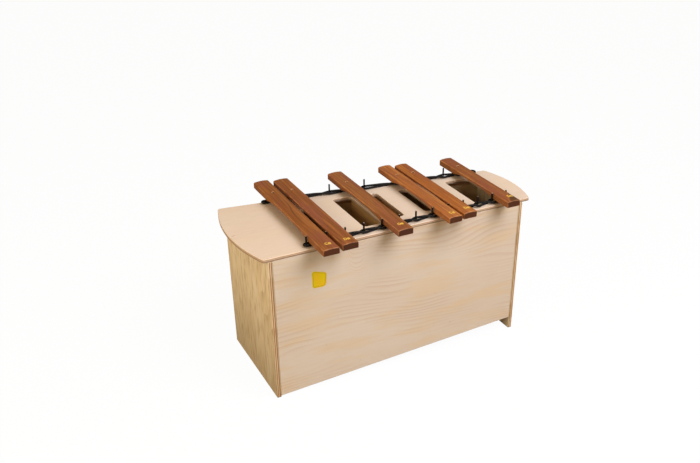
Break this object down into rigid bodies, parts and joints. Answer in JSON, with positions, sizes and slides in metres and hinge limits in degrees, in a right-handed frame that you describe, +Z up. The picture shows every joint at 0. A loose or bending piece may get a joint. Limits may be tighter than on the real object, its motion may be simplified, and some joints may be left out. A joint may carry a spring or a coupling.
{
  "type": "bass xylophone",
  "caption": "Chromatic bass xylophone: rosewood bars on twisted cords between pins, over a tapered plywood resonator box with sound holes.",
  "frame": {"origin": "on the floor, below the middle of the top plate and of the longest bar", "axes": "+X to the treble end along the front, +Y from the player to the back, +Z up"},
  "size_m": [1.046, 0.585, 0.5595],
  "materials": {
    "birch_plate": "pale birch plywood, satin lacquer",
    "pine_plywood": "pale softwood plywood, satin lacquer",
    "beech_rail": "plain beech, unfinished",
    "rosewood": "red-brown rosewood, oiled",
    "nail_steel": "bare steel nail",
    "sleeve_rubber": "black rubber tube",
    "hook_steel": "black steel screw",
    "cord": "black braided cord"
  },
  "bodies": {
    "resonator_box": {"top_plate": "birch_plate", "bass_end_panel": "pine_plywood", "treble_end_panel": "pine_plywood", "front_panel": "pine_plywood", "back_panel": "pine_plywood", "floor_board": "pine_plywood", "partition_1": "pine_plywood", "partition_2": "pine_plywood", "partition_3": "pine_plywood", "partition_4": "pine_plywood", "front_pin_rail": "beech_rail", "rear_pin_rail": "beech_rail", "front_pin_01": "nail_steel", "front_pin_02": "nail_steel", "front_pin_03": "nail_steel", "front_pin_04": "nail_steel", "front_pin_05": "nail_steel", "front_pin_06": "nail_steel", "front_pin_07": "nail_steel", "front_pin_08": "nail_steel", "front_pin_09": "nail_steel", "front_pin_10": "nail_steel", "front_pin_11": "nail_steel", "front_pin_12": "nail_steel", "front_pin_13": "nail_steel", "front_pin_sleeve_01": "sleeve_rubber", "front_pin_sleeve_02": "sleeve_rubber", "front_pin_sleeve_03": "sleeve_rubber", "front_pin_sleeve_04": "sleeve_rubber", "front_pin_sleeve_05": "sleeve_rubber", "front_pin_sleeve_06": "sleeve_rubber", "front_pin_sleeve_07": "sleeve_rubber", "front_pin_sleeve_08": "sleeve_rubber", "front_pin_sleeve_09": "sleeve_rubber", "front_pin_sleeve_10": "sleeve_rubber", "front_pin_sleeve_11": "sleeve_rubber", "front_pin_sleeve_12": "sleeve_rubber", "front_pin_sleeve_13": "sleeve_rubber", "rear_pin_01": "sleeve_rubber", "rear_pin_02": "sleeve_rubber", "rear_pin_03": "sleeve_rubber", "rear_pin_04": "sleeve_rubber", "rear_pin_05": "sleeve_rubber", "rear_pin_06": "sleeve_rubber", "rear_pin_07": "sleeve_rubber", "rear_pin_08": "sleeve_rubber", "rear_pin_09": "sleeve_rubber", "bass_cord_hook": "hook_steel", "treble_cord_hook": "hook_steel", "front_cord": "cord", "rear_cord": "cord"},
    "low_c_sharp": {"low_c_sharp_bar": "rosewood"},
    "low_d_sharp": {"low_d_sharp_bar": "rosewood"},
    "low_g_sharp": {"low_g_sharp_bar": "rosewood"},
    "high_c_sharp": {"high_c_sharp_bar": "rosewood"},
    "high_d_sharp": {"high_d_sharp_bar": "rosewood"},
    "high_g_sharp": {"high_g_sharp_bar": "rosewood"}
  },
  "joints": [
    {"name": "low_c_sharp_lift", "type": "slide", "parent": "resonator_box", "child": "low_c_sharp", "axis": [0, 0, 1], "range_m": [0, 0.05]},
    {"name": "low_d_sharp_lift", "type": "slide", "parent": "resonator_box", "child": "low_d_sharp", "axis": [0, 0, 1], "range_m": [0, 0.05]},
    {"name": "low_g_sharp_lift", "type": "slide", "parent": "resonator_box", "child": "low_g_sharp", "axis": [0, 0, 1], "range_m": [0, 0.05]},
    {"name": "high_c_sharp_lift", "type": "slide", "parent": "resonator_box", "child": "high_c_sharp", "axis": [0, 0, 1], "range_m": [0, 0.05]},
    {"name": "high_d_sharp_lift", "type": "slide", "parent": "resonator_box", "child": "high_d_sharp", "axis": [0, 0, 1], "range_m": [0, 0.05]},
    {"name": "high_g_sharp_lift", "type": "slide", "parent": "resonator_box", "child": "high_g_sharp", "axis": [0, 0, 1], "range_m": [0, 0.05]}
  ]
}
